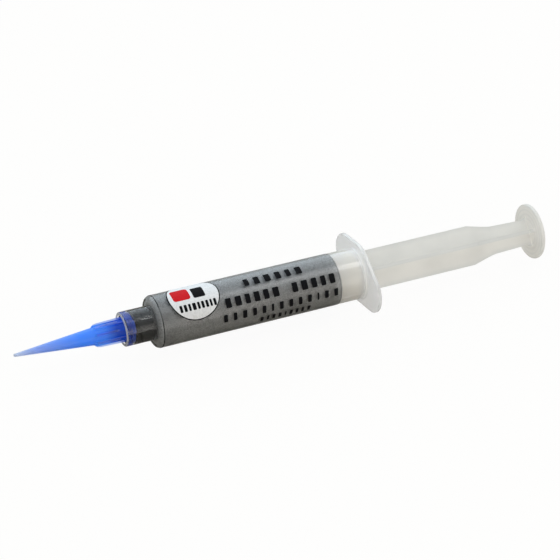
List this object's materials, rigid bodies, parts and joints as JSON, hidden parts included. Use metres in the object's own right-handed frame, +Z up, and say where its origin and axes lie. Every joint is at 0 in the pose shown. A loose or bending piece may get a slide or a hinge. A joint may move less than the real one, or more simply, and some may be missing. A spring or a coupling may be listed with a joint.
{
  "type": "solder paste syringe",
  "caption": "Lying syringe of grey solder paste: clear barrel with finger flange and luer lock, film label, wiper piston, cross-ribbed plunger and tapered blue dispensing tip.",
  "frame": {"origin": "middle of the box's footprint, on the surface that the syringe lies on", "axes": "+X along the syringe from the dispensing tip to the thumb disc, +Y across the finger flange's ears, +Z up"},
  "size_m": [0.1576, 0.0284, 0.0179],
  "materials": {
    "barrel": "gloss",
    "label": "satin",
    "solder_paste": "matte",
    "piston": "satin",
    "plunger": "satin",
    "dispensing_tip": "satin"
  },
  "bodies": {
    "barrel": {"barrel": "barrel", "label": "label", "solder_paste": "solder_paste"},
    "piston": {"piston": "piston"},
    "plunger": {"plunger": "plunger"},
    "tip": {"dispensing_tip": "dispensing_tip"}
  },
  "joints": [
    {"name": "plunger_push", "type": "slide", "parent": "barrel", "child": "piston", "axis": [-1, 0, 0], "range_m": [0, 0.0525], "deforming": ["solder_paste"]},
    {"name": "plunger_turn", "type": "hinge", "parent": "piston", "child": "plunger", "pos_m": [0.02, 0, 0.00895], "axis": [1, 0, 0], "continuous": true},
    {"name": "tip_twist", "type": "hinge", "parent": "barrel", "child": "tip", "pos_m": [-0.045, 0, 0.00895], "axis": [-1, 0, 0], "range_deg": [0, 260]}
  ]
}
